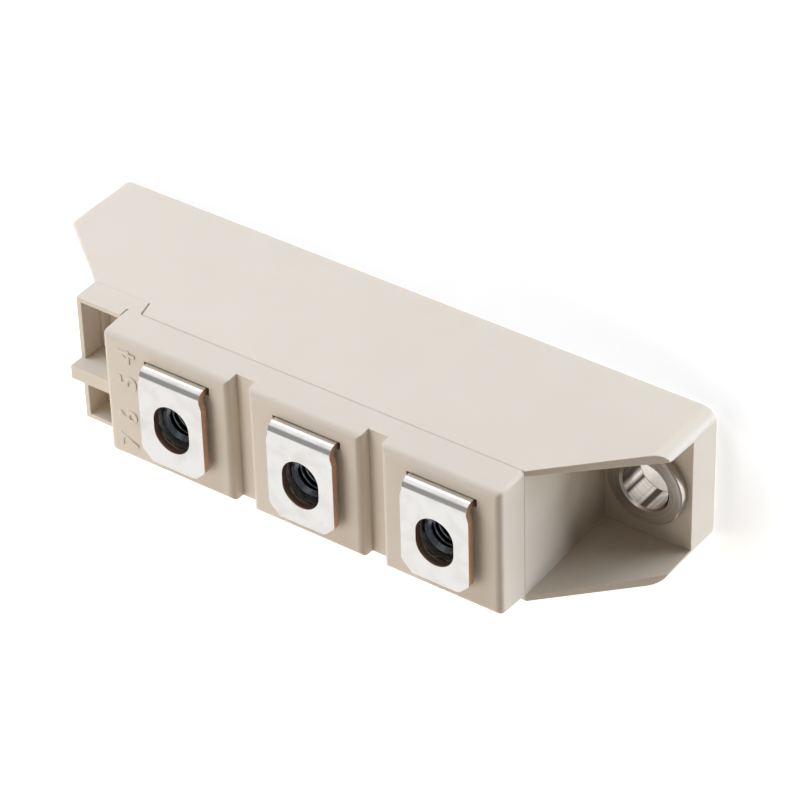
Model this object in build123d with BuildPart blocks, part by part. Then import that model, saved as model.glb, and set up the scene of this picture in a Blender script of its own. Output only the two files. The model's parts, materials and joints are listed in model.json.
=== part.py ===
"""Rectifier diode module: a narrow three-terminal block on a flat metal base.

Frame: X along the module, Y across it, Z from the base face up to the terminals.
The origin is the middle of the base face. All sizes are in millimetres.
"""

import os
from math import radians, tan

from build123d import *

os.makedirs("parts", exist_ok=True)

# Envelope
module_length = 92.0
module_width = 20.0
terminal_height = 30.2

# Mounting holes, and the three terminals along the lid's terminal block
hole_inset = 6.0
terminal_count = 3
left_terminal_margin = 11.8
right_terminal_margin = 8.4

# Metal base plate
base_thickness = 3.0
base_stand_out = 0.4
base_hole_radius = 3.3
base_corner_radius = 1.4
base_clearance = 0.1

# Housing moulding
housing_wall = 1.6
rim_wall = 0.9
end_corner_radius = 2.0
right_shoulder = 10.7
left_shoulder = 10.8
right_wall_gap = 6.6
left_wall_gap = 6.15
flange_floor = 5.7
gusset_foot = 1.65
gusset_draft = 2.6

# Seam between housing and lid
lid_depth = 5.2
skirt_drop = 2.5
skirt_step_inset = 2.45
skirt_step_slope = 0.65
skirt_slit = 0.25
seam_bevel = 0.12
seam_reveal = 0.1
seam_reveal_depth = 0.5

# Lid moulding
terminal_gap = 0.7
lid_draft = 3.8
lid_low_inset = 0.7
face_edge_radius = 0.95
block_corner_radius = 0.5
groove_width = 3.05
groove_depth = 2.0
groove_share = 0.4725
roof_thickness = 1.7
tongue_depth = 2.0
tongue_thickness = 0.75
fit_clearance = 0.15

# Nut seats under the terminals
nut_across_flats = 8.0
nut_height = 4.0
nut_thread_radius = 2.1
nut_bevel_across = 0.5
nut_bevel_down = 0.25
nut_recess = 0.2
nut_clearance = 0.3
relief_radius = 2.8
relief_depth = 4.8
seat_wall = 1.6
seat_floor = 1.2

# Auxiliary socket block at the left end of the lid
socket_block_length = 7.05
socket_rise = 1.4
socket_wall = 0.65
socket_low_inset = 1.0
socket_shelf_rise = 0.6
socket_floor_drop = 0.8
socket_floor_thickness = 0.8
socket_seat_wall = 0.55
socket_seat_depth = 1.8
socket_far_wall = 0.3
socket_end_wall = 0.45
rib_thickness = 2.0
rib_middle_y = -0.5
rib_rise = 2.2
tab_slot_length = 3.2
tab_slot_width = 0.9
tab_slot_pitch = 3.2
tab_slot_margin = 0.1

# Terminal straps
strap_thickness = 1.0
strap_inset = 2.45
strap_clearance = 0.1
strap_end_clearance = 0.4
plate_width = 10.0
plate_end_y = -6.2
plate_corner = 1.6
plate_corner_radius = 1.0
neck_width = 9.4
neck_end_y = 6.1
neck_flare = 1.0
bolt_slot_width = 5.5
bolt_slot_length = 6.9
fold_radius = 0.8
foot_radius = 1.0
foot_length = 4.0
leg_width = 5.0
leg_shoulder_drop = 2.5

# Flanged bushes
bush_bore_radius = 3.3
bush_sleeve_radius = 4.5
bush_collar_radius = 5.4
bush_collar_height = 1.5
bush_bore_bevel = 0.3
bush_rim_bevel = 0.15

# Substrate, chips and jumpers
solder_thickness = 0.15
back_copper_thickness = 0.3
ceramic_thickness = 0.63
pad_thickness = 0.3
ceramic_margin = 1.1
copper_margin = 0.4
pad_split = 1.2
chip_gap = 1.1
chip_thickness = 0.35
chip_solder_thickness = 0.1
jumper_thickness = 0.5
jumper_inset = 0.9
jumper_arch = 1.6
jumper_landing = 3.0
jumper_bend_radius = 0.5

# Fillings
seal_gap = 1.35
seal_thickness = 7.0

# Heights and positions that follow from the sizes above
half_length = module_length / 2
half_width = module_width / 2
hole_x = half_length - hole_inset
body_right = hole_x - right_wall_gap
body_left = left_wall_gap - hole_x
block_left = body_left + socket_block_length
skirt_step_top = block_left + skirt_step_inset
skirt_step_foot = skirt_step_top - skirt_step_slope
cavity_right = body_right - housing_wall
cavity_left = body_left + housing_wall
cavity_half = half_width - housing_wall
cavity_middle = (cavity_left + cavity_right) / 2
cavity_length = cavity_right - cavity_left
lid_face = terminal_height - strap_thickness - terminal_gap
seam_height = lid_face - lid_depth
skirt_seam_height = seam_height - skirt_drop
socket_top = seam_height + socket_rise
socket_shelf = skirt_seam_height + socket_shelf_rise
socket_floor = skirt_seam_height - socket_floor_drop
socket_low_side = half_width - socket_low_inset
rib_top = socket_top + rib_rise
groove_floor = lid_face - groove_depth
roof_underside = groove_floor - roof_thickness
nut_top = lid_face - nut_recess
nut_seat = nut_top - nut_height
relief_floor = nut_seat - relief_depth
seal_height = relief_floor - seat_floor - seal_gap
gel_height = seal_height - seal_thickness
strap_outer_y = half_width - strap_inset
strap_inner_y = strap_outer_y - strap_thickness
strap_y = strap_outer_y - strap_thickness / 2
first_terminal_x = block_left + left_terminal_margin
terminal_pitch = (body_right - right_terminal_margin - first_terminal_x) / (terminal_count - 1)
terminal_xs = [first_terminal_x + terminal_pitch * i for i in range(terminal_count)]


def side_at(height):
    """Half width of the drafted lid side at a height above the seam."""
    return half_width - max(height - seam_height, 0.0) * tan(radians(lid_draft))


def recess_half_at(height):
    """Half width of a flange recess, which widens upward with the mould draft."""
    return half_width - gusset_foot + (height - flange_floor) * tan(radians(gusset_draft))


# Base plate: nickel-plated copper, set into the housing's rim and a little proud of it
base_length = module_length - 2 * (rim_wall + base_clearance)
base_width = module_width - 2 * (rim_wall + base_clearance)
with BuildPart() as base_plate:
    with BuildSketch():
        RectangleRounded(base_length, base_width, base_corner_radius)
        with GridLocations(2 * hole_x, 0, 2, 1):
            Circle(base_hole_radius, mode=Mode.SUBTRACT)
    extrude(amount=base_thickness)
base_plate.part.label = "base_plate"
export_step(base_plate.part, "parts/base_plate.step")


# Housing: one moulding with a deep open body and a gusseted flange at each end
with BuildPart() as housing:
    with BuildSketch(Plane.XZ):
        with BuildLine():
            Polyline(
                (-half_length, base_stand_out),
                (half_length, base_stand_out),
                (half_length, right_shoulder),
                (body_right, seam_height),
                (skirt_step_top, seam_height),
                (skirt_step_foot, skirt_seam_height),
                (body_left, skirt_seam_height),
                (-half_length, left_shoulder),
                close=True,
            )
        make_face()
    extrude(amount=half_width, both=True)
    fillet(housing.edges().filter_by(Axis.Z), end_corner_radius)

    # Fine bevel along the top edges, which shows as the seam under the lid
    seam_edges = housing.edges().filter_by_position(Axis.Z, skirt_seam_height, seam_height)
    chamfer(seam_edges.filter_by(Axis.X), seam_bevel)

    # The screw recess over each flange, open at the end and at the top
    for wall_x, open_x in ((body_right, half_length + 1), (body_left, -half_length - 1)):
        for height in (flange_floor, seam_height + 1):
            with BuildSketch(Plane.XY.offset(height)):
                with Locations(((wall_x + open_x) / 2, 0)):
                    Rectangle(abs(open_x - wall_x), 2 * recess_half_at(height))
        loft(mode=Mode.SUBTRACT)

    # The body's inside, open to the base plate below and to the lid above
    with BuildSketch(Plane.XY.offset(base_thickness)):
        with Locations((cavity_middle, 0)):
            Rectangle(cavity_length, 2 * cavity_half)
    extrude(amount=seam_height - base_thickness, mode=Mode.SUBTRACT)

    # Rebate that takes the plug of the auxiliary socket block
    seat_left = body_left + socket_seat_wall
    with BuildSketch(Plane.XY.offset(skirt_seam_height)):
        with Locations(((seat_left + skirt_step_foot) / 2, 0)):
            Rectangle(skirt_step_foot - seat_left, module_width - 2 * socket_seat_wall)
    extrude(amount=-socket_seat_depth, mode=Mode.SUBTRACT)

    # Pocket for the base plate, and the seats of the two bushes
    with BuildSketch():
        RectangleRounded(
            module_length - 2 * rim_wall, module_width - 2 * rim_wall, base_corner_radius + base_clearance
        )
    extrude(amount=base_thickness, mode=Mode.SUBTRACT)
    with BuildSketch(Plane.XY.offset(flange_floor)):
        with GridLocations(2 * hole_x, 0, 2, 1):
            Circle(bush_sleeve_radius)
    extrude(amount=base_thickness - flange_floor, mode=Mode.SUBTRACT)
housing.part.label = "housing"
export_step(housing.part, "parts/housing.step")


# Lid: terminal block with three seats, and the socket block as a step at its left
plug_left = body_left + socket_seat_wall + fit_clearance
plug_half = half_width - socket_seat_wall - fit_clearance
plug_right = skirt_step_foot - skirt_slit
inner_left = block_left + housing_wall
tongue_half = cavity_half - fit_clearance
tongue_right = cavity_right - fit_clearance
tongue_foot = seam_height - tongue_depth
socket_right = block_left - socket_far_wall
rib_low_y = rib_middle_y - rib_thickness / 2
rib_high_y = rib_middle_y + rib_thickness / 2
with BuildPart() as lid:
    with BuildSketch(Plane.YZ.offset(block_left)):
        with BuildLine():
            Polyline(
                (lid_low_inset - half_width, seam_height),
                (half_width, seam_height),
                (side_at(lid_face), lid_face),
                (lid_low_inset - side_at(lid_face), lid_face),
                close=True,
            )
        make_face()
    extrude(amount=body_right - block_left)
    corner_edges = lid.edges().filter_by(lambda edge: abs((edge % 0.5).Z) > 0.9)
    fillet(corner_edges, block_corner_radius)

    # Two cross grooves part the face into three raised seats
    for terminal_x in terminal_xs[:-1]:
        with BuildSketch(Plane.XY.offset(groove_floor)):
            with Locations((terminal_x + groove_share * terminal_pitch, 0)):
                Rectangle(groove_width, 2 * module_width)
        extrude(amount=2 * groove_depth, mode=Mode.SUBTRACT)
    for index in range(terminal_count):
        seat_face = lid.faces().filter_by(Axis.Z).group_by(Axis.Z)[-1].sort_by(Axis.X)[index]
        fillet(seat_face.edges(), face_edge_radius)

    # Skirt and socket block
    with BuildSketch(Plane.XZ):
        with BuildLine():
            Polyline(
                (body_left, skirt_seam_height),
                (plug_right, skirt_seam_height),
                (skirt_step_top - skirt_slit, seam_height),
                (body_left, seam_height),
                close=True,
            )
        make_face()
    extrude(amount=half_width, both=True)
    with BuildSketch(Plane.YZ.offset(body_left)):
        with BuildLine():
            Polyline(
                (-half_width, seam_height),
                (half_width, seam_height),
                (side_at(socket_top), socket_top),
                (-side_at(socket_top), socket_top),
                close=True,
            )
        make_face()
    extrude(amount=block_left - body_left)
    with BuildSketch(Plane.XY.offset(skirt_seam_height)):
        with Locations(((body_left + block_left) / 2, -socket_low_side - half_width)):
            Rectangle(block_left - body_left, module_width)
    extrude(amount=socket_top - skirt_seam_height, mode=Mode.SUBTRACT)

    # Fine reveal round the foot of the terminal block, over the housing's top edge
    with BuildSketch(Plane.XY.offset(seam_height)):
        with Locations(((skirt_step_top + body_right) / 2 + seam_reveal_depth, 0)):
            Rectangle(body_right - skirt_step_top + 2 * seam_reveal_depth, 2 * module_width)
        with Locations(((skirt_step_top + body_right) / 2 - seam_reveal_depth, 0)):
            Rectangle(body_right - skirt_step_top, module_width - 2 * seam_reveal_depth, mode=Mode.SUBTRACT)
    extrude(amount=seam_reveal, mode=Mode.SUBTRACT)

    # Plug under the sockets and the tongue that centres the lid in the housing
    with BuildSketch(Plane.XY.offset(socket_floor - socket_floor_thickness)):
        with Locations(((plug_left + plug_right) / 2, 0)):
            Rectangle(plug_right - plug_left, 2 * plug_half)
    extrude(amount=skirt_seam_height - socket_floor + socket_floor_thickness)
    with BuildSketch(Plane.XY.offset(tongue_foot)):
        with Locations(((plug_right + tongue_right) / 2, 0)):
            Rectangle(tongue_right - plug_right, 2 * tongue_half)
    extrude(amount=tongue_depth)

    # Hollow inside of the terminal block
    with BuildSketch(Plane.XY.offset(socket_floor - socket_floor_thickness)):
        with Locations(((inner_left + tongue_right - tongue_thickness) / 2, 0)):
            Rectangle(tongue_right - tongue_thickness - inner_left, 2 * (tongue_half - tongue_thickness))
    extrude(amount=roof_underside - socket_floor + socket_floor_thickness, mode=Mode.SUBTRACT)

    # Nut seats: a boss with a hexagonal pocket and a relief for the screw's end
    boss_length = nut_across_flats + 2 * nut_clearance + 2 * seat_wall
    for terminal_x in terminal_xs:
        with BuildSketch(Plane.XY.offset(relief_floor - seat_floor)):
            with Locations((terminal_x, 0)):
                Rectangle(boss_length, boss_length)
        extrude(amount=roof_underside - relief_floor + seat_floor)
        with BuildSketch(Plane.XY.offset(nut_seat)):
            with Locations((terminal_x, 0)):
                RegularPolygon(nut_across_flats / 2 + nut_clearance, 6, major_radius=False, rotation=30)
        extrude(amount=lid_face - nut_seat, mode=Mode.SUBTRACT)
        with BuildSketch(Plane.XY.offset(nut_seat)):
            with Locations((terminal_x, 0)):
                Circle(relief_radius)
        extrude(amount=-relief_depth, mode=Mode.SUBTRACT)

        # Slot that lets the terminal strap out beside its seat
        with BuildSketch(Plane.XY.offset(tongue_foot)):
            with Locations((terminal_x, strap_y)):
                Rectangle(neck_width + 2 * strap_end_clearance, strap_thickness + 2 * strap_clearance)
        extrude(amount=lid_face - tongue_foot, mode=Mode.SUBTRACT)

    # Two auxiliary pockets with a shelf at the outer side and slots in the floor
    socket_left = body_left + socket_wall
    deep_left = plug_left + socket_end_wall
    for inner_y, outer_y, deep_y in (
        (rib_high_y, side_at(socket_top) - socket_wall, plug_half - socket_wall),
        (rib_low_y, socket_wall - socket_low_side, 2 * socket_wall - socket_low_side),
    ):
        with BuildSketch(Plane.XY.offset(socket_shelf)):
            with Locations(((socket_left + socket_right) / 2, (inner_y + outer_y) / 2)):
                Rectangle(socket_right - socket_left, abs(outer_y - inner_y))
        extrude(amount=socket_top - socket_shelf, mode=Mode.SUBTRACT)
        with BuildSketch(Plane.XY.offset(socket_floor)):
            with Locations(((deep_left + socket_right) / 2, (inner_y + deep_y) / 2)):
                Rectangle(socket_right - deep_left, abs(deep_y - inner_y))
        extrude(amount=socket_shelf - socket_floor, mode=Mode.SUBTRACT)
        with BuildSketch(Plane.XY.offset(socket_floor)):
            with Locations((deep_left + tab_slot_margin + tab_slot_length / 2, (inner_y + deep_y) / 2)):
                with GridLocations(0, tab_slot_pitch, 1, 2):
                    Rectangle(tab_slot_length, tab_slot_width)
        extrude(amount=-socket_floor_thickness, mode=Mode.SUBTRACT)

    # Rib between the pockets, higher than their walls
    with BuildSketch(Plane.XY.offset(socket_top)):
        with Locations(((body_left + block_left) / 2, rib_middle_y)):
            Rectangle(block_left - body_left, rib_thickness)
    extrude(amount=rib_top - socket_top)
lid.part.label = "lid"
export_step(lid.part, "parts/lid.step")


# Bushes: turned steel sleeves that take the clamping force of the mounting screws
def build_bush(centre_x, label):
    with BuildPart() as bush:
        with BuildSketch(Plane((centre_x, 0, 0), x_dir=(1, 0, 0), z_dir=(0, -1, 0))):
            with BuildLine():
                Polyline(
                    (bush_bore_radius, base_thickness),
                    (bush_sleeve_radius, base_thickness),
                    (bush_sleeve_radius, flange_floor),
                    (bush_collar_radius, flange_floor),
                    (bush_collar_radius, flange_floor + bush_collar_height - bush_rim_bevel),
                    (bush_collar_radius - bush_rim_bevel, flange_floor + bush_collar_height),
                    (bush_bore_radius + bush_bore_bevel, flange_floor + bush_collar_height),
                    (bush_bore_radius, flange_floor + bush_collar_height - bush_bore_bevel),
                    close=True,
                )
            make_face()
        revolve(axis=Axis((centre_x, 0, 0), (0, 0, 1)))
    bush.part.label = label
    export_step(bush.part, f"parts/{label}.step")


build_bush(-hole_x, "bush_left")
build_bush(hole_x, "bush_right")


# Nuts: hexagonal, flats facing along the module, corners bevelled at both faces
def build_nut(centre_x, label):
    corner_radius = nut_across_flats / 2 / tan(radians(60)) * 2
    with BuildPart() as nut:
        with BuildSketch(Plane.XY.offset(nut_seat)):
            with Locations((centre_x, 0)):
                Circle(corner_radius)
        extrude(amount=nut_height)
        chamfer(nut.edges().filter_by(GeomType.CIRCLE), nut_bevel_down, nut_bevel_across)
        with BuildSketch(Plane.XY.offset(nut_seat)):
            with Locations((centre_x, 0)):
                RegularPolygon(nut_across_flats / 2, 6, major_radius=False, rotation=30)
                Circle(nut_thread_radius, mode=Mode.SUBTRACT)
        extrude(amount=nut_height, mode=Mode.INTERSECT)
    nut.part.label = label
    export_step(nut.part, f"parts/{label}.step")


for number, terminal_x in enumerate(terminal_xs, start=1):
    build_nut(terminal_x, f"nut_{number}")


# Substrate stack: solder, back copper, ceramic, then the three circuit pads
back_copper_floor = base_thickness + solder_thickness
ceramic_floor = back_copper_floor + back_copper_thickness
pad_floor = ceramic_floor + ceramic_thickness
pad_top = pad_floor + pad_thickness
ceramic_length = cavity_length - 2 * ceramic_margin
ceramic_width = 2 * (cavity_half - ceramic_margin)


def build_layer(label, length, width, floor, thickness):
    with BuildPart() as layer:
        with BuildSketch(Plane.XY.offset(floor)):
            with Locations((cavity_middle, 0)):
                Rectangle(length, width)
        extrude(amount=thickness)
    layer.part.label = label
    export_step(layer.part, f"parts/{label}.step")
    return layer.part


copper_length = ceramic_length - 2 * copper_margin
copper_width = ceramic_width - 2 * copper_margin
base_solder = build_layer("base_solder", copper_length, copper_width, base_thickness, solder_thickness)
back_copper = build_layer(
    "back_copper", copper_length, copper_width, back_copper_floor, back_copper_thickness
)
ceramic_substrate = build_layer(
    "ceramic_substrate", ceramic_length, ceramic_width, ceramic_floor, ceramic_thickness
)

pad_left = cavity_middle - copper_length / 2
pad_right = cavity_middle + copper_length / 2
pad_half = copper_width / 2
pad_edge = pad_split / 2
first_split = (terminal_xs[0] + terminal_xs[1]) / 2
second_split = (terminal_xs[1] + terminal_xs[2]) / 2


def build_pad(label, corners):
    with BuildPart() as pad:
        with BuildSketch(Plane.XY.offset(pad_floor)):
            with BuildLine():
                Polyline(*corners, close=True)
            make_face()
        extrude(amount=pad_thickness)
    pad.part.label = label
    export_step(pad.part, f"parts/{label}.step")
    return pad.part


# The midpoint pad runs on beside the other two to carry the second chip
pad_midpoint = build_pad(
    "pad_midpoint",
    [
        (pad_left, -pad_half),
        (pad_right, -pad_half),
        (pad_right, -pad_edge),
        (first_split - pad_edge, -pad_edge),
        (first_split - pad_edge, pad_half),
        (pad_left, pad_half),
    ],
)
pad_cathode = build_pad(
    "pad_cathode",
    [
        (first_split + pad_edge, pad_edge),
        (second_split - pad_edge, pad_edge),
        (second_split - pad_edge, pad_half),
        (first_split + pad_edge, pad_half),
    ],
)
pad_anode = build_pad(
    "pad_anode",
    [
        (second_split + pad_edge, pad_edge),
        (pad_right, pad_edge),
        (pad_right, pad_half),
        (second_split + pad_edge, pad_half),
    ],
)


# Diode chips, each on its own solder, and the copper jumper from the top of each
chip_row = (pad_edge + pad_half) / 2
chip_floor = pad_top + chip_solder_thickness
chip_top = chip_floor + chip_thickness
chip_size = terminal_pitch / 2 - pad_edge - copper_margin - leg_width / 2 - chip_gap
jumper_width = chip_size - 2 * jumper_inset
chip_1_x = second_split - pad_edge - copper_margin - chip_size / 2
chip_2_x = second_split + pad_edge + copper_margin + jumper_width / 2


def build_chip(label, centre, floor, thickness):
    with BuildPart() as chip:
        with BuildSketch(Plane.XY.offset(floor)):
            with Locations(centre):
                Rectangle(chip_size, chip_size)
        extrude(amount=thickness)
    chip.part.label = label
    export_step(chip.part, f"parts/{label}.step")
    return chip.part


def build_jumper(label, centre_x, chip_y):
    """Bridge from a chip's top at chip_y to the pad across the split."""
    side = 1 if chip_y > 0 else -1
    reach = jumper_landing / 2
    chip_z = chip_top + jumper_thickness / 2
    pad_z = pad_top + jumper_thickness / 2
    arch_z = chip_z + jumper_arch
    inner = chip_row - reach
    with BuildPart() as jumper:
        with BuildSketch(Plane.YZ.offset(centre_x - jumper_width / 2)):
            with BuildLine():
                FilletPolyline(
                    (side * (chip_row + reach), chip_z),
                    (side * inner, chip_z),
                    (side * (inner - jumper_arch / 2), arch_z),
                    (-side * (inner - jumper_arch / 2), arch_z),
                    (-side * inner, pad_z),
                    (-side * (chip_row + reach), pad_z),
                    radius=jumper_bend_radius,
                )
            trace(line_width=jumper_thickness)
        extrude(amount=jumper_width)
    jumper.part.label = label
    export_step(jumper.part, f"parts/{label}.step")
    return jumper.part


inner_parts = [base_solder, back_copper, ceramic_substrate, pad_midpoint, pad_cathode, pad_anode]
for number, chip_x, chip_y in ((1, chip_1_x, chip_row), (2, chip_2_x, -chip_row)):
    centre = (chip_x, chip_y)
    inner_parts.append(build_chip(f"chip_solder_{number}", centre, pad_top, chip_solder_thickness))
    inner_parts.append(build_chip(f"diode_chip_{number}", centre, chip_floor, chip_thickness))
    inner_parts.append(build_jumper(f"jumper_{number}", chip_x, chip_y))


# Terminals: one copper strap each, from a foot on its pad up through the lid's slot
plate_z = terminal_height - strap_thickness / 2
plate_half = plate_width / 2
neck_half = neck_width / 2
flare_y = neck_end_y - neck_flare
foot_z = pad_top + strap_thickness / 2
strap_shoulder = roof_underside


def build_terminal(centre_x, label):
    with BuildPart() as terminal:
        with BuildSketch(Plane.YZ.offset(centre_x)):
            with BuildLine():
                foot = Line((strap_y - foot_length, foot_z), (strap_y - foot_radius, foot_z))
                heel = JernArc(foot @ 1, foot % 1, foot_radius, 90)
                riser = Line(heel @ 1, (strap_y, plate_z - fold_radius))
                fold = JernArc(riser @ 1, riser % 1, fold_radius, 90)
                Line(fold @ 1, (plate_end_y, plate_z))
            trace(line_width=strap_thickness)
        extrude(amount=plate_half, both=True)

        # Outline from above: a plate with clipped, rounded corners, flared from a narrower neck
        with BuildSketch() as outline:
            with BuildLine():
                Polyline(
                    (centre_x + plate_half, plate_end_y),
                    (centre_x + plate_half, flare_y),
                    (centre_x + neck_half, neck_end_y),
                    (centre_x + neck_half, half_width),
                    (centre_x - neck_half, half_width),
                    (centre_x - neck_half, neck_end_y),
                    (centre_x - plate_half, flare_y),
                    (centre_x - plate_half, plate_end_y),
                    close=True,
                )
            make_face()
            chamfer(outline.vertices().group_by(Axis.Y)[0], plate_corner)
            corners = outline.vertices().filter_by_position(Axis.Y, plate_end_y, plate_end_y + plate_corner)
            fillet(corners, plate_corner_radius)
        extrude(amount=2 * terminal_height, mode=Mode.INTERSECT)

        # Outline from the side: full width above the lid's roof, a narrow leg below it
        with BuildSketch(Plane.XZ):
            with BuildLine():
                Polyline(
                    (centre_x - leg_width / 2, 0),
                    (centre_x + leg_width / 2, 0),
                    (centre_x + leg_width / 2, strap_shoulder - leg_shoulder_drop),
                    (centre_x + plate_width, strap_shoulder),
                    (centre_x + plate_width, 2 * terminal_height),
                    (centre_x - plate_width, 2 * terminal_height),
                    (centre_x - plate_width, strap_shoulder),
                    (centre_x - leg_width / 2, strap_shoulder - leg_shoulder_drop),
                    close=True,
                )
            make_face()
        extrude(amount=half_width, both=True, mode=Mode.INTERSECT)

        # Elongated screw hole over the nut
        with BuildSketch(Plane.XY.offset(terminal_height)):
            with Locations((centre_x, 0)):
                SlotOverall(bolt_slot_length, bolt_slot_width, rotation=90)
        extrude(amount=-2 * strap_thickness, mode=Mode.SUBTRACT)
    terminal.part.label = label
    export_step(terminal.part, f"parts/{label}.step")
    return terminal.part


terminals = []
for number, terminal_x in enumerate(terminal_xs, start=1):
    terminals.append(build_terminal(terminal_x, f"terminal_{number}"))


# Fillings: soft gel round the chips, and the hard seal that holds the terminal legs
def build_filling(label, floor, top, buried):
    with BuildPart() as filling:
        with BuildSketch(Plane.XY.offset(floor)):
            with Locations((cavity_middle, 0)):
                Rectangle(cavity_length, 2 * cavity_half)
        extrude(amount=top - floor)
        add(buried, mode=Mode.SUBTRACT)
    filling.part.label = label
    export_step(filling.part, f"parts/{label}.step")


build_filling("silicone_gel", base_thickness, gel_height, inner_parts + terminals)
build_filling("epoxy_seal", gel_height, seal_height, terminals)
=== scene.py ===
import bpy
import bmesh
import json
import math
from mathutils import Matrix, Vector


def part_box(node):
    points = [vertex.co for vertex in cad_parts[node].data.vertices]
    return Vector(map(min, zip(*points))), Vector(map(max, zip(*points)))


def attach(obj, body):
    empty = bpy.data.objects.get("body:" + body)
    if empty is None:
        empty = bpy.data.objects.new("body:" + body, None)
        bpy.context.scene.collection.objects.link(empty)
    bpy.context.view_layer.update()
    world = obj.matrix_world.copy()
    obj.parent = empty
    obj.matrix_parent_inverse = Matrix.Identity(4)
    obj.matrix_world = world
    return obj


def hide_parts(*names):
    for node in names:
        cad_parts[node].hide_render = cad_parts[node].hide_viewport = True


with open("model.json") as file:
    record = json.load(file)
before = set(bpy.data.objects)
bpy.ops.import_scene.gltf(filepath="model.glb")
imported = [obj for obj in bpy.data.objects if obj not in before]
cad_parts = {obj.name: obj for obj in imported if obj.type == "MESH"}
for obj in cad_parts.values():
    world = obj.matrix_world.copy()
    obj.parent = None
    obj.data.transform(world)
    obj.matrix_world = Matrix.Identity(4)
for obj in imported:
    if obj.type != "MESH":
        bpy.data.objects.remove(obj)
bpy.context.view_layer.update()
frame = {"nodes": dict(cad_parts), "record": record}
nodes = frame["nodes"]
scene = bpy.context.scene
mm = 0.001  # the scene is in metres
print("stage 1: frame loaded with", len(nodes), "nodes")


def linearColour(hexText):
    # sRGB hex to the linear values that the shaders want
    parts = [int(hexText[i:i + 2], 16) / 255 for i in (1, 3, 5)]
    linear = [c / 12.92 if c <= 0.04045 else ((c + 0.055) / 1.055) ** 2.4 for c in parts]
    return (*linear, 1.0)


def addNode(tree, kind, inputs=None, **settings):
    # an input is a value or the output that feeds it; a colour Mix has its colours at 6 and 7
    node = tree.nodes.new(kind)
    for name, value in settings.items():
        setattr(node, name, value)
    for name, value in (inputs or {}).items():
        socket = node.inputs[name]
        if isinstance(value, bpy.types.NodeSocket):
            tree.links.new(value, socket)
        else:
            socket.default_value = value
    return node


def newMaterial(name, shaderInputs):
    material = bpy.data.materials.new(name)
    material.use_nodes = True
    tree = material.node_tree
    tree.nodes.clear()
    shader = addNode(tree, "ShaderNodeBsdfPrincipled", shaderInputs)
    addNode(tree, "ShaderNodeOutputMaterial", {"Surface": shader.outputs["BSDF"]})
    return material, tree, shader


def linkShader(tree, shader, colour, roughness, normal):
    tree.links.new(colour, shader.inputs["Base Color"])
    tree.links.new(roughness, shader.inputs["Roughness"])
    tree.links.new(normal, shader.inputs["Normal"])


def perMetre(sizeMm):
    # texture scale at which one noise cell is about that many millimetres
    return 1.0 / (sizeMm * mm)


def ownMesh(bm, name):
    bmesh.ops.recalc_face_normals(bm, faces=bm.faces)
    mesh = bpy.data.meshes.new(name)
    bm.to_mesh(mesh)
    bm.free()
    piece = bpy.data.objects.new(name, mesh)
    scene.collection.objects.link(piece)
    return piece


def evaluatedMesh(piece):
    # a plain mesh of the piece with everything on its stack applied
    bpy.context.view_layer.update()
    evaluated = piece.evaluated_get(bpy.context.evaluated_depsgraph_get())
    return bpy.data.meshes.new_from_object(evaluated)


# Camera: a long lens, rolled the way the module lay on its side in the picture
cameraValues = {
    "lens": 172.4,
    "sensor": 36.0,
    "clip": (0.01, 20.0),  # metres
    "place": (234.33, 287.60, 319.29),
    "right": (0.81447, -0.02437, -0.57969),
    "up": (-0.33082, 0.80128, -0.49850),
    "back": (0.47664, 0.59779, 0.64456),
}
cameraData = bpy.data.cameras.new("camera")
cameraData.lens = cameraValues["lens"]
cameraData.sensor_width = cameraValues["sensor"]
cameraData.clip_start, cameraData.clip_end = cameraValues["clip"]
camera = bpy.data.objects.new("camera", cameraData)
turn = Matrix([cameraValues[side] for side in ("right", "up", "back")]).transposed()
camera.matrix_world = Matrix.Translation(Vector(cameraValues["place"]) * mm) @ turn.to_4x4()
scene.collection.objects.link(camera)
scene.camera = camera
print("stage 2: camera placed")


# Beige thermoplastic, glass filled and moulded in a finely eroded tool: satin, with a
# hardly visible grain, faint clouds in the colour, and softened a little by light in its skin
plasticValues = {
    "colour": "#E2D9CC",
    "cloudDark": "#DCD3C5",
    "cloudSize": 9.0,
    "grainSize": 0.18,
    "grainDepth": 0.004,
    "waveSize": 7.0,
    "waveDepth": 0.012,
    "roughness": (0.40, 0.52),
    "ior": 1.54,
    "depth": 0.5,  # light enters the resin about that far
    "depthWeight": 0.4,
    "depthColours": (1.0, 0.85, 0.7),
}


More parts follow.
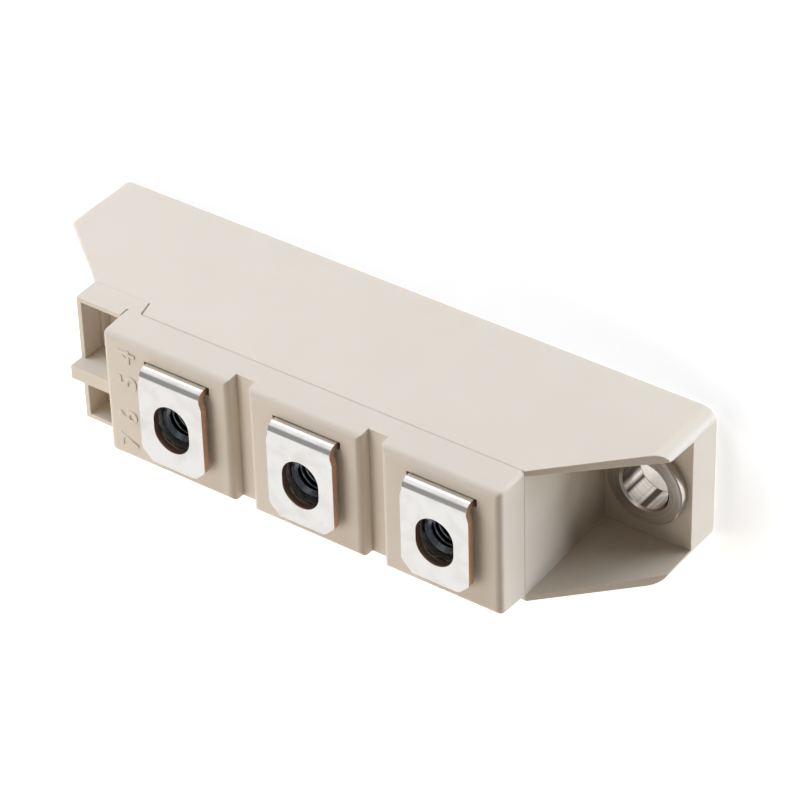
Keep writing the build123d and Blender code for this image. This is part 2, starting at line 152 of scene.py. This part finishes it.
def makePlastic():
    v = plasticValues
    material, tree, shader = newMaterial("mouldedThermoplasticBeige", {
        "IOR": v["ior"],
        "Subsurface Weight": v["depthWeight"],
        "Subsurface Radius": v["depthColours"],
        "Subsurface Scale": v["depth"] * mm,
    })
    place = addNode(tree, "ShaderNodeTexCoord").outputs["Object"]
    clouds = addNode(tree, "ShaderNodeTexNoise", {
        "Vector": place, "Scale": perMetre(v["cloudSize"]), "Detail": 3.0,
    })
    tint = addNode(tree, "ShaderNodeMix", {
        "Factor": clouds.outputs["Fac"], 6: linearColour(v["colour"]), 7: linearColour(v["cloudDark"]),
    }, data_type="RGBA")
    grain = addNode(tree, "ShaderNodeTexNoise", {
        "Vector": place, "Scale": perMetre(v["grainSize"]), "Detail": 2.0,
    })
    wave = addNode(tree, "ShaderNodeTexNoise", {
        "Vector": place, "Scale": perMetre(v["waveSize"]), "Detail": 1.0,
    })
    satin = addNode(tree, "ShaderNodeMapRange", {
        "Value": grain.outputs["Fac"], "To Min": v["roughness"][0], "To Max": v["roughness"][1],
    })
    slow = addNode(tree, "ShaderNodeBump", {
        "Strength": 1.0, "Distance": v["waveDepth"] * mm, "Height": wave.outputs["Fac"],
    })
    fine = addNode(tree, "ShaderNodeBump", {
        "Strength": 1.0, "Distance": v["grainDepth"] * mm, "Height": grain.outputs["Fac"],
        "Normal": slow.outputs["Normal"],
    })
    linkShader(tree, shader, tint.outputs[2], satin.outputs["Result"], fine.outputs["Normal"])
    return material


# Tin-plated copper strip: bright soft-looking tin on the rolled faces, and bare reddish
# copper where the press sheared the strip through the plating
terminalValues = {
    "tin": "#F3F1EE",
    "tinDull": "#E8E4E0",
    "tinRoughness": (0.15, 0.28),
    "smearSize": 3.0,
    "smearSteps": (0.45, 0.75),
    "copper": "#DDB89E",
    "copperDark": "#A9826A",
    "copperRoughness": 0.42,
    "streakSize": 0.12,
    "streakStretch": 0.12,  # along Z, the way the shear went
    "streakStrength": 0.5,
    "streakDepth": 0.01,
    "edgeSteps": (0.55, 0.75),  # how squarely a sheared face looks along X or Y
    "plateEnd": 5.0,  # towards +Y, where the fold starts
}


def makeTinnedCopper():
    v = terminalValues
    material, tree, shader = newMaterial("tinPlatedCopperStrip", {"Metallic": 1.0})
    place = addNode(tree, "ShaderNodeTexCoord").outputs["Object"]
    smear = addNode(tree, "ShaderNodeTexNoise", {
        "Vector": place, "Scale": perMetre(v["smearSize"]), "Detail": 4.0,
    })
    dull = addNode(tree, "ShaderNodeMapRange", {
        "Value": smear.outputs["Fac"],
        "From Min": v["smearSteps"][0], "From Max": v["smearSteps"][1],
    })
    tin = addNode(tree, "ShaderNodeMix", {
        "Factor": dull.outputs["Result"], 6: linearColour(v["tin"]), 7: linearColour(v["tinDull"]),
    }, data_type="RGBA")
    streakPlace = addNode(tree, "ShaderNodeMapping", {
        "Vector": place, "Scale": (1.0, 1.0, v["streakStretch"]),
    })
    paintedReflectionBand = addNode(tree, "ShaderNodeTexNoise", {
        "Vector": streakPlace.outputs["Vector"], "Scale": perMetre(v["streakSize"]), "Detail": 3.0,
    })
    copper = addNode(tree, "ShaderNodeMix", {
        "Factor": paintedReflectionBand.outputs["Fac"], 6: linearColour(v["copper"]), 7: linearColour(v["copperDark"]),
    }, data_type="RGBA")
    # sheared faces look along X, and along Y only on the plate itself
    normal = addNode(tree, "ShaderNodeSeparateXYZ", {
        "Vector": addNode(tree, "ShaderNodeNewGeometry").outputs["Normal"],
    })
    where = addNode(tree, "ShaderNodeSeparateXYZ", {"Vector": place})
    alongX = addNode(tree, "ShaderNodeMath", {0: normal.outputs["X"]}, operation="ABSOLUTE")
    alongY = addNode(tree, "ShaderNodeMath", {0: normal.outputs["Y"]}, operation="ABSOLUTE")
    onPlate = addNode(tree, "ShaderNodeMath", {
        0: where.outputs["Y"], 1: v["plateEnd"] * mm,
    }, operation="LESS_THAN")
    endFace = addNode(tree, "ShaderNodeMath", {
        0: alongY.outputs[0], 1: onPlate.outputs[0],
    }, operation="MULTIPLY")
    sheared = addNode(tree, "ShaderNodeMath", {
        0: alongX.outputs[0], 1: endFace.outputs[0],
    }, operation="MAXIMUM")
    edge = addNode(tree, "ShaderNodeMapRange", {
        "Value": sheared.outputs[0],
        "From Min": v["edgeSteps"][0], "From Max": v["edgeSteps"][1],
    })
    colour = addNode(tree, "ShaderNodeMix", {
        "Factor": edge.outputs["Result"], 6: tin.outputs[2], 7: copper.outputs[2],
    }, data_type="RGBA")
    tinRough = addNode(tree, "ShaderNodeMapRange", {
        "Value": dull.outputs["Result"],
        "To Min": v["tinRoughness"][0], "To Max": v["tinRoughness"][1],
    })
    rough = addNode(tree, "ShaderNodeMix", {
        "Factor": edge.outputs["Result"], 2: tinRough.outputs["Result"], 3: v["copperRoughness"],
    })
    bump = addNode(tree, "ShaderNodeBump", {
        "Strength": v["streakStrength"], "Distance": v["streakDepth"] * mm,
        "Height": paintedReflectionBand.outputs["Fac"],
    })
    linkShader(tree, shader, colour.outputs[2], rough.outputs[0], bump.outputs["Normal"])
    return material


# Turned steel, nickel plated: bright, with the tool's feed marks running round the axis,
# and dark bands painted along the bore, a painted reflection of the dark surroundings
bushValues = {
    "colour": "#DCD6CF",
    "shade": "#A39A90",
    "roughness": (0.12, 0.26),
    "patchSize": 2.5,
    "feed": 0.30,  # coarser than the real 0.1 mm, so that it shows
    "feedStrength": 0.6,
    "feedDepth": 0.012,
    # painted reflection: the colour of the dark bands on the bore wall, set by the bearing of its
    # normal
    "paintedReflectionBand": "#453C34",
    "reflectionBandScale": 1.5,  # noise cells per unit of the wall's normal
    "reflectionBandSteps": (0.47, 0.55),
    "boreRadius": 3.5,
    "wallTilt": 0.3,  # the bore's wall has a normal flatter than this
    "axes": {"bush_left": -40.0, "bush_right": 40.0},
}


def makeTurnedSteel(axisX):
    v = bushValues
    material, tree, shader = newMaterial("turnedNickelPlatedSteel", {"Metallic": 1.0})
    place = addNode(tree, "ShaderNodeMapping", {
        "Vector": addNode(tree, "ShaderNodeTexCoord").outputs["Object"],
        "Location": (-axisX * mm, 0, 0),
    })
    parts = addNode(tree, "ShaderNodeSeparateXYZ", {"Vector": place.outputs["Vector"]})
    flat = addNode(tree, "ShaderNodeCombineXYZ", {"X": parts.outputs["X"], "Y": parts.outputs["Y"]})
    radius = addNode(tree, "ShaderNodeVectorMath", {0: flat.outputs["Vector"]}, operation="LENGTH")
    rings = addNode(tree, "ShaderNodeCombineXYZ", {
        "X": radius.outputs["Value"], "Y": parts.outputs["Z"],
    })
    feed = addNode(tree, "ShaderNodeTexNoise", {
        "Vector": rings.outputs["Vector"], "Scale": perMetre(v["feed"]), "Detail": 2.0,
    })
    tone = addNode(tree, "ShaderNodeMix", {
        "Factor": feed.outputs["Fac"], 6: linearColour(v["colour"]), 7: linearColour(v["shade"]),
    }, data_type="RGBA")
    patches = addNode(tree, "ShaderNodeTexNoise", {
        "Vector": place.outputs["Vector"], "Scale": perMetre(v["patchSize"]),
    })
    rough = addNode(tree, "ShaderNodeMapRange", {
        "Value": patches.outputs["Fac"], "To Min": v["roughness"][0], "To Max": v["roughness"][1],
    })
    bump = addNode(tree, "ShaderNodeBump", {
        "Strength": v["feedStrength"], "Distance": v["feedDepth"] * mm, "Height": feed.outputs["Fac"],
    })
    # painted reflection: dark bands follow the bearing of the wall, so they run along the axis
    around = addNode(tree, "ShaderNodeSeparateXYZ", {
        "Vector": addNode(tree, "ShaderNodeNewGeometry").outputs["Normal"],
    })
    bearing = addNode(tree, "ShaderNodeCombineXYZ", {
        "X": around.outputs["X"], "Y": around.outputs["Y"],
    })
    reflectionBandNoise = addNode(tree, "ShaderNodeTexNoise", {
        "Vector": bearing.outputs["Vector"], "Scale": v["reflectionBandScale"], "Detail": 3.0,
    })
    reflectionBandMask = addNode(tree, "ShaderNodeMapRange", {
        "Value": reflectionBandNoise.outputs["Fac"],
        "From Min": v["reflectionBandSteps"][0], "From Max": v["reflectionBandSteps"][1],
    })
    upright = addNode(tree, "ShaderNodeMath", {0: around.outputs["Z"]}, operation="ABSOLUTE")
    facing = addNode(tree, "ShaderNodeMath", {
        0: upright.outputs[0], 1: v["wallTilt"],
    }, operation="LESS_THAN")
    inside = addNode(tree, "ShaderNodeMath", {
        0: radius.outputs["Value"], 1: v["boreRadius"] * mm,
    }, operation="LESS_THAN")
    wall = addNode(tree, "ShaderNodeMath", {
        0: facing.outputs[0], 1: inside.outputs[0],
    }, operation="MULTIPLY")
    paintedReflectionShare = addNode(tree, "ShaderNodeMath", {
        0: reflectionBandMask.outputs["Result"], 1: wall.outputs[0],
    }, operation="MULTIPLY")
    steelWithPaintedReflection = addNode(tree, "ShaderNodeMix", {
        "Factor": paintedReflectionShare.outputs[0], 6: tone.outputs[2], 7: linearColour(v["paintedReflectionBand"]),
    }, data_type="RGBA")
    linkShader(tree, shader, steelWithPaintedReflection.outputs[2], rough.outputs["Result"], bump.outputs["Normal"])
    return material


# The other finishes, by the record's slot: grain is the size of its cells in millimetres,
# stretch below 1 draws them out along that axis
finishValues = {
    # nickel on rolled copper, cleaned with a soft pad along the plate
    "nickel_plate": {
        "name": "nickelPlatedRolledCopper", "light": "#C9C4BC", "dark": "#AFA9A0",
        "roughness": (0.28, 0.42), "grain": 0.35, "stretch": (0.06, 1, 1),
    },
    # passivated zinc on the steel nuts: glossy, with both tones painted darker than the zinc, as
    # painted shade for the deep hole
    "zinc_nut": {
        "name": "zincPlatedSteelPaintedDark", "light": "#7E858C", "dark": "#3E444A",
        "roughness": (0.06, 0.14), "grain": 0.6,
    },
    # soft solder, dull and slightly rippled where it froze
    "solder": {
        "name": "tinSilverSolder", "light": "#B9B9B6", "dark": "#9A9A98",
        "roughness": (0.35, 0.5), "grain": 1.2, "relief": 0.01,
    },
    # bare etched copper of the circuit pads and jumpers
    "bare_copper": {
        "name": "etchedBareCopper", "light": "#C98A68", "dark": "#A96B4C",
        "roughness": (0.3, 0.45), "grain": 0.5,
    },
    # alumina, fired and unglazed: white, dry and very fine grained
    "white_ceramic": {
        "name": "firedAluminaWhite", "light": "#EDEBE4", "dark": "#DEDBD2",
        "roughness": (0.5, 0.65), "grain": 0.2, "metallic": 0.0,
    },
    # silicon with its evaporated metal on top: dark grey and glossy
    "silicon": {
        "name": "metallisedSilicon", "light": "#5C5F66", "dark": "#45484E",
        "roughness": (0.15, 0.25), "grain": 0.8, "metallic": 0.6,
    },
    # clear soft silicone, milky in this thickness
    "clear_gel": {
        "name": "siliconeGelMilky", "light": "#D4D8D2", "dark": "#C4CAC4",
        "roughness": (0.1, 0.2), "grain": 4.0, "metallic": 0.0,
    },
    # cast epoxy with mineral filler: black and slightly wavy
    "black_epoxy": {
        "name": "castEpoxyBlack", "light": "#1D1D1E", "dark": "#121213",
        "roughness": (0.25, 0.4), "grain": 1.5, "metallic": 0.0,
    },
}
usualRelief = 0.004
usualStrength = 0.6


def makeFinish(v):
    # grain in the tone, the gloss and the relief
    material, tree, shader = newMaterial(v["name"], {"Metallic": v.get("metallic", 1.0)})
    place = addNode(tree, "ShaderNodeMapping", {
        "Vector": addNode(tree, "ShaderNodeTexCoord").outputs["Object"],
        "Scale": v.get("stretch", (1, 1, 1)),
    })
    grain = addNode(tree, "ShaderNodeTexNoise", {
        "Vector": place.outputs["Vector"], "Scale": perMetre(v["grain"]), "Detail": 4.0,
    })
    tone = addNode(tree, "ShaderNodeMix", {
        "Factor": grain.outputs["Fac"], 6: linearColour(v["light"]), 7: linearColour(v["dark"]),
    }, data_type="RGBA")
    rough = addNode(tree, "ShaderNodeMapRange", {
        "Value": grain.outputs["Fac"], "To Min": v["roughness"][0], "To Max": v["roughness"][1],
    })
    bump = addNode(tree, "ShaderNodeBump", {
        "Strength": usualStrength, "Distance": v.get("relief", usualRelief) * mm,
        "Height": grain.outputs["Fac"],
    })
    linkShader(tree, shader, tone.outputs[2], rough.outputs["Result"], bump.outputs["Normal"])
    return material


finishes = {slotName: makeFinish(v) for slotName, v in finishValues.items()}
finishes["beige_plastic"] = makePlastic()
finishes["tinned_copper"] = makeTinnedCopper()
slotNames = {part["node"]: part["material_slot"] for part in frame["record"]["subparts"]}
for nodeName, node in nodes.items():
    if nodeName in bushValues["axes"]:
        finish = makeTurnedSteel(bushValues["axes"][nodeName])
    else:
        finish = finishes[slotNames[nodeName]]
    for slot in node.material_slots:
        slot.material = finish
print("stage 3: finishes on", len(nodes), "nodes")


# Edges that the mould and the press leave a little round
edgeValues = {
    "widths": {
        "housing": 0.12, "lid": 0.08, "base_plate": 0.12,
        "terminal_1": 0.05, "terminal_2": 0.05, "terminal_3": 0.05,
    },
    "segments": 2,
    "mergeDistance": 0.002,
    "flatAngle": 0.6,  # degrees, within which neighbouring triangles are one flat face
    "edgeAngle": 28,  # degrees, from which an edge is rounded
}
for nodeName, width in edgeValues["widths"].items():
    node = nodes[nodeName]
    weld = node.modifiers.new("weld", "WELD")
    weld.merge_threshold = edgeValues["mergeDistance"] * mm
    flats = node.modifiers.new("flats", "DECIMATE")
    flats.decimate_type = "DISSOLVE"
    flats.angle_limit = math.radians(edgeValues["flatAngle"])
    bevel = node.modifiers.new("roundEdges", "BEVEL")
    bevel.width = width * mm
    bevel.segments = edgeValues["segments"]
    bevel.limit_method = "ANGLE"
    bevel.angle_limit = math.radians(edgeValues["edgeAngle"])
    bevel.use_clamp_overlap = True
    normals = node.modifiers.new("evenNormals", "WEIGHTED_NORMAL")
    normals.keep_sharp = False
print("stage 4: edges softened")


# M5 nuts with a real cut thread, each in the place of its plain node
nutValues = {
    "acrossFlats": 8.0,
    "edge": 0.16,
    "edgeSegments": 2,
    "threadRoot": 2.52,
    "threadCrest": 2.1,
    "pitch": 0.8,
    # one turn of the cutter: share of the pitch, and share of the way from crest to root
    "profile": ((0.0, 0), (0.25, 0), (0.56, 1), (0.69, 1), (1.0, 0)),
    "rodReach": 0.3,  # how far the cutter stands out of the nut at each end
    "mergeDistance": 0.001,
    "mouth": 2.75,
    "mouthDepth": 0.5,
    "mouthSlope": 1.2,
    "mouthReach": 0.2,
    "steps": 40,
    "terminals": {"nut_1": -15.0, "nut_2": 5.0, "nut_3": 25.0},
}


def threadedRod(centreX, low, high):
    v = nutValues
    pitch = v["pitch"] * mm
    turns = math.ceil((high - low) / pitch) + 2
    bm = bmesh.new()
    points = []
    for share, depth in v["profile"]:
        radius = (v["threadRoot"] if depth else v["threadCrest"]) * mm
        points.append(bm.verts.new((radius, 0, low + (share - 1) * pitch)))
    edges = [bm.edges.new(pair) for pair in zip(points, points[1:])]
    bmesh.ops.spin(
        bm, geom=points + edges, cent=(0, 0, 0), axis=(0, 0, 1), dvec=(0, 0, pitch / v["steps"]),
        angle=2 * math.pi * turns, steps=v["steps"] * turns, use_merge=False,
    )
    bmesh.ops.remove_doubles(bm, verts=bm.verts, dist=v["mergeDistance"] * mm)
    for height, upper in ((low, False), (high, True)):
        cut = bmesh.ops.bisect_plane(
            bm, geom=bm.verts[:] + bm.edges[:] + bm.faces[:], plane_co=(0, 0, height),
            plane_no=(0, 0, 1), clear_outer=upper, clear_inner=not upper,
        )
        rim = [g for g in cut["geom_cut"] if isinstance(g, bmesh.types.BMEdge)]
        bmesh.ops.edgeloop_fill(bm, edges=rim)
    bmesh.ops.translate(bm, verts=bm.verts, vec=(centreX * mm, 0, 0))
    return ownMesh(bm, "threadTool")


def coneTool(centreX, height, pointsDown):
    v = nutValues
    reach, depth = v["mouthReach"] * mm, v["mouthDepth"] * mm
    wide = v["mouth"] * mm + reach
    narrow = v["mouth"] * mm - depth * v["mouthSlope"]
    bm = bmesh.new()
    bmesh.ops.create_cone(
        bm, cap_ends=True, segments=v["steps"], radius1=narrow if pointsDown else wide,
        radius2=wide if pointsDown else narrow, depth=depth + reach,
    )
    shift = (reach - depth) / 2 * (1 if pointsDown else -1)
    bmesh.ops.translate(bm, verts=bm.verts, vec=(centreX * mm, 0, height + shift))
    return ownMesh(bm, "mouthTool")


def makeNut(nodeName, centreX):
    v = nutValues
    low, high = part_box(nodeName)
    corner = v["acrossFlats"] / 2 * mm / math.cos(math.pi / 6)
    bm = bmesh.new()
    bmesh.ops.create_cone(
        bm, cap_ends=True, segments=6, radius1=corner, radius2=corner, depth=high.z - low.z,
    )
    halfSector = Matrix.Rotation(math.pi / 6, 3, "Z")
    bmesh.ops.rotate(bm, verts=bm.verts, cent=(0, 0, 0), matrix=halfSector)
    bmesh.ops.translate(bm, verts=bm.verts, vec=(centreX * mm, 0, (low.z + high.z) / 2))
    bmesh.ops.bevel(
        bm, geom=bm.edges[:], offset=v["edge"] * mm, offset_type="OFFSET",
        segments=v["edgeSegments"], profile=0.5, affect="EDGES", material=-1,
    )
    nut = ownMesh(bm, "threadedNut" + nodeName[-1])
    reach = v["rodReach"] * mm
    tools = [
        threadedRod(centreX, low.z - reach, high.z + reach),
        coneTool(centreX, high.z, True),
        coneTool(centreX, low.z, False),
    ]
    for tool in tools:
        cut = nut.modifiers.new("cut", "BOOLEAN")
        cut.operation = "DIFFERENCE"
        cut.solver = "EXACT"
        cut.object = tool
    mesh = evaluatedMesh(nut)
    nut.modifiers.clear()
    nut.data = mesh
    for tool in tools:
        bpy.data.objects.remove(tool)
    nut.data.materials.clear()
    nut.data.materials.append(finishes["zinc_nut"])
    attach(nut, "root")
    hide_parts(nodeName)
    return nut


for nodeName, centreX in nutValues["terminals"].items():
    nut = makeNut(nodeName, centreX)
    print("nut", nodeName, len(nut.data.vertices), "vertices")
print("stage 5: threads cut")


# Raised pin numbers on the lid beside the sockets, read from the -X side
numberValues = {
    "height": 2.9,
    "heightShare": 0.72,  # a digit's height in the font's size
    "fatten": 0.055,
    "round": 0.06,
    "roundSteps": 2,
    "relief": 0.16,
    "core": 0.1,  # half the thickness between the rounded edges
    "mergeDistance": 0.0005,
    "places": {"4": (-23.05, 7.2), "5": (-23.1, 3.3), "6": (-23.4, -2.2), "7": (-23.5, -6.2)},
}


def makeNumbers():
    v = numberValues
    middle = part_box("lid")[1].z + (v["relief"] - v["core"] - v["round"]) * mm
    bm = bmesh.new()
    for digit, (placeX, placeY) in v["places"].items():
        curve = bpy.data.curves.new("digit" + digit, "FONT")
        curve.body = digit
        curve.size = v["height"] / v["heightShare"] * mm
        curve.align_x = "CENTER"
        curve.extrude = v["core"] * mm
        curve.offset = (v["fatten"] - v["round"]) * mm
        curve.bevel_depth = v["round"] * mm
        curve.bevel_resolution = v["roundSteps"]
        text = bpy.data.objects.new("digit" + digit, curve)
        scene.collection.objects.link(text)
        mesh = evaluatedMesh(text)
        bpy.data.objects.remove(text)
        # up is -X: a quarter turn, then the digit's foot goes half its height to +X
        mesh.transform(Matrix.Rotation(math.pi / 2, 4, "Z"))
        foot = Vector(((placeX + v["height"] / 2) * mm, placeY * mm, middle))
        mesh.transform(Matrix.Translation(foot))
        bm.from_mesh(mesh)
    bmesh.ops.remove_doubles(bm, verts=bm.verts, dist=v["mergeDistance"] * mm)
    numbers = ownMesh(bm, "raisedPinNumbers")
    numbers.data.materials.append(finishes["beige_plastic"])
    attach(numbers, "root")


makeNumbers()
print("stage 6: numbers raised")


# White paper floor, and a dim room with the bright table that the module lay on at its -Y side
stageValues = {
    "floorColour": "#EBEFF3",
    "floorRoughness": 0.9,
    "floorGloss": 0.2,
    "floorSize": 4.0,  # metres
    "floorDrop": 0.02,
    "nearLift": 0.50,  # the paper's own light at the module, low enough for its shadow
    "farLift": 1.0,
    "liftReach": (21.0, 48.0),
    "liftSquash": 0.4,  # along the module
    "roomLevel": 0.03,
    "roomInMetal": 0.30,
    "tableLevel": 0.82,
    "tableInMetal": 0.95,
    "tableTint": "#FFF3E6",
    "tableEdge": (-0.15, -0.35),  # these edges are parts of a direction's length
    "tableEnd": (0.45, 0.2),
    "ceilingInMetal": 0.95,
    "ceilingEdge": (0.35, 0.75),
    "overheadEdge": (0.90, 0.96),
}


def makeFloor():
    v = stageValues
    bm = bmesh.new()
    bmesh.ops.create_grid(bm, x_segments=1, y_segments=1, size=v["floorSize"])
    bmesh.ops.translate(bm, verts=bm.verts, vec=(0, 0, -v["floorDrop"] * mm))
    floor = ownMesh(bm, "floor")
    material, tree, shader = newMaterial("mattWhitePaper", {
        "Base Color": linearColour(v["floorColour"]), "Roughness": v["floorRoughness"],
        "Specular IOR Level": v["floorGloss"], "Emission Color": (1, 1, 1, 1),
    })
    path = addNode(tree, "ShaderNodeLightPath")
    mirrored = addNode(tree, "ShaderNodeMath", {
        0: path.outputs["Is Glossy Ray"], 1: path.outputs["Is Transmission Ray"],
    }, operation="MAXIMUM")
    # white away from the module, where the lamps fall off, and darker near it for the shadow
    squashed = addNode(tree, "ShaderNodeMapping", {
        "Vector": addNode(tree, "ShaderNodeTexCoord").outputs["Object"],
        "Scale": (v["liftSquash"], 1.0, 1.0),
    })
    reach = addNode(tree, "ShaderNodeVectorMath", {
        0: squashed.outputs["Vector"],
    }, operation="LENGTH")
    sweep = addNode(tree, "ShaderNodeMapRange", {
        "Value": reach.outputs["Value"],
        "From Min": v["liftReach"][0] * mm, "From Max": v["liftReach"][1] * mm,
        "To Min": v["nearLift"], "To Max": v["farLift"],
    })
    lift = addNode(tree, "ShaderNodeMapRange", {
        "Value": mirrored.outputs[0], "To Min": sweep.outputs["Result"], "To Max": v["tableInMetal"],
    })
    tree.links.new(lift.outputs["Result"], shader.inputs["Emission Strength"])
    # only the camera and mirrors see the paper; the lamps below it shine through
    seen = addNode(tree, "ShaderNodeMath", {
        0: path.outputs["Is Camera Ray"], 1: mirrored.outputs[0],
    }, operation="MAXIMUM")
    paper = addNode(tree, "ShaderNodeMixShader", {
        0: seen.outputs[0], 1: addNode(tree, "ShaderNodeBsdfTransparent").outputs["BSDF"],
        2: shader.outputs["BSDF"],
    })
    surface = next(n for n in tree.nodes if n.type == "OUTPUT_MATERIAL")
    tree.links.new(paper.outputs["Shader"], surface.inputs["Surface"])
    floor.data.materials.append(material)


def makeRoom():
    v = stageValues
    world = bpy.data.worlds.new("softRoom")
    scene.world = world
    world.use_nodes = True
    tree = world.node_tree
    tree.nodes.clear()
    direction = addNode(tree, "ShaderNodeSeparateXYZ", {
        "Vector": addNode(tree, "ShaderNodeTexCoord").outputs["Generated"],
    })
    path = addNode(tree, "ShaderNodeLightPath")
    byCamera, byMetal = path.outputs["Is Camera Ray"], path.outputs["Is Glossy Ray"]
    # the table on the -Y side: metal sees it white up to its end, matt surfaces get its level
    tableEnd = addNode(tree, "ShaderNodeMapRange", {
        "Value": direction.outputs["X"], "From Min": v["tableEnd"][0], "From Max": v["tableEnd"][1],
        "To Max": v["tableInMetal"],
    })
    tableLight = addNode(tree, "ShaderNodeMapRange", {
        "Value": byMetal, "To Min": v["tableLevel"], "To Max": tableEnd.outputs["Result"],
    })
    table = addNode(tree, "ShaderNodeMapRange", {
        "Value": direction.outputs["Y"], "From Min": v["tableEdge"][0], "From Max": v["tableEdge"][1],
        "To Max": tableLight.outputs["Result"],
    }, interpolation_type="SMOOTHSTEP")
    # white on the +Y side and overhead shows in metal only, on the folds and from above
    ceilingLight = addNode(tree, "ShaderNodeMath", {
        0: byMetal, 1: v["ceilingInMetal"],
    }, operation="MULTIPLY")
    ceiling = addNode(tree, "ShaderNodeMapRange", {
        "Value": direction.outputs["Y"],
        "From Min": v["ceilingEdge"][0], "From Max": v["ceilingEdge"][1],
        "To Max": ceilingLight.outputs[0],
    }, interpolation_type="SMOOTHSTEP")
    overhead = addNode(tree, "ShaderNodeMapRange", {
        "Value": direction.outputs["Z"],
        "From Min": v["overheadEdge"][0], "From Max": v["overheadEdge"][1],
        "To Max": ceilingLight.outputs[0],
    }, interpolation_type="SMOOTHSTEP")
    room = addNode(tree, "ShaderNodeMapRange", {
        "Value": byMetal, "To Min": v["roomLevel"], "To Max": v["roomInMetal"],
    })
    # the brightest of them all counts, and the camera sees white
    strength = byCamera
    for part in (table, ceiling, overhead, room):
        brighter = addNode(tree, "ShaderNodeMath", {
            0: strength, 1: part.outputs["Result"],
        }, operation="MAXIMUM")
        strength = brighter.outputs[0]
    # the table warms matt surfaces, but metal and the camera see plain white
    neutral = addNode(tree, "ShaderNodeMath", {0: byCamera, 1: byMetal}, operation="MAXIMUM")
    tint = addNode(tree, "ShaderNodeMix", {
        "Factor": neutral.outputs[0], 6: linearColour(v["tableTint"]), 7: (1, 1, 1, 1),
    }, data_type="RGBA")
    background = addNode(tree, "ShaderNodeBackground", {
        "Color": tint.outputs[2], "Strength": strength,
    })
    addNode(tree, "ShaderNodeOutputWorld", {"Surface": background.outputs["Background"]})


makeFloor()
makeRoom()

# Soft square lamps: place and size in millimetres, and level is the share of full white
# that each gives the module at its middle
lampValues = {
    "keyRight": {
        "place": (210, 596, -301), "size": 440, "level": 0.43, "colour": "#FFFDFB", "mirrored": True,
    },
    "keyLeft": {
        "place": (-317, 599, 176), "size": 440, "level": 0.81, "colour": "#F0F4FF", "mirrored": False,
    },
    "side": {
        "place": (376, 50, -326), "size": 250, "level": 0.80, "colour": "#ECF4FF", "mirrored": True,
    },
    "left": {
        "place": (-100, -70, 130), "size": 140, "level": 0.20, "colour": "#F8F4EE", "mirrored": False,
    },
    "above": {
        "place": (-112, -31, 275), "size": 160, "level": 0.27, "colour": "#FFF6EC", "mirrored": False,
    },
}
for lampName, v in lampValues.items():
    lampData = bpy.data.lights.new(lampName, "AREA")
    lampData.shape = "SQUARE"
    lampData.size = v["size"] * mm
    place = Vector(v["place"]) * mm
    lampData.energy = v["level"] * math.pi ** 2 * place.length_squared
    lampData.color = linearColour(v["colour"])[:3]
    lamp = bpy.data.objects.new(lampName, lampData)
    facing = (-place).to_track_quat("-Z", "Y").to_matrix().to_4x4()
    lamp.matrix_world = Matrix.Translation(place) @ facing
    lamp.visible_glossy = v["mirrored"]
    scene.collection.objects.link(lamp)
scene.view_settings.view_transform = "Standard"
print("stage 7: floor, room and lamps")
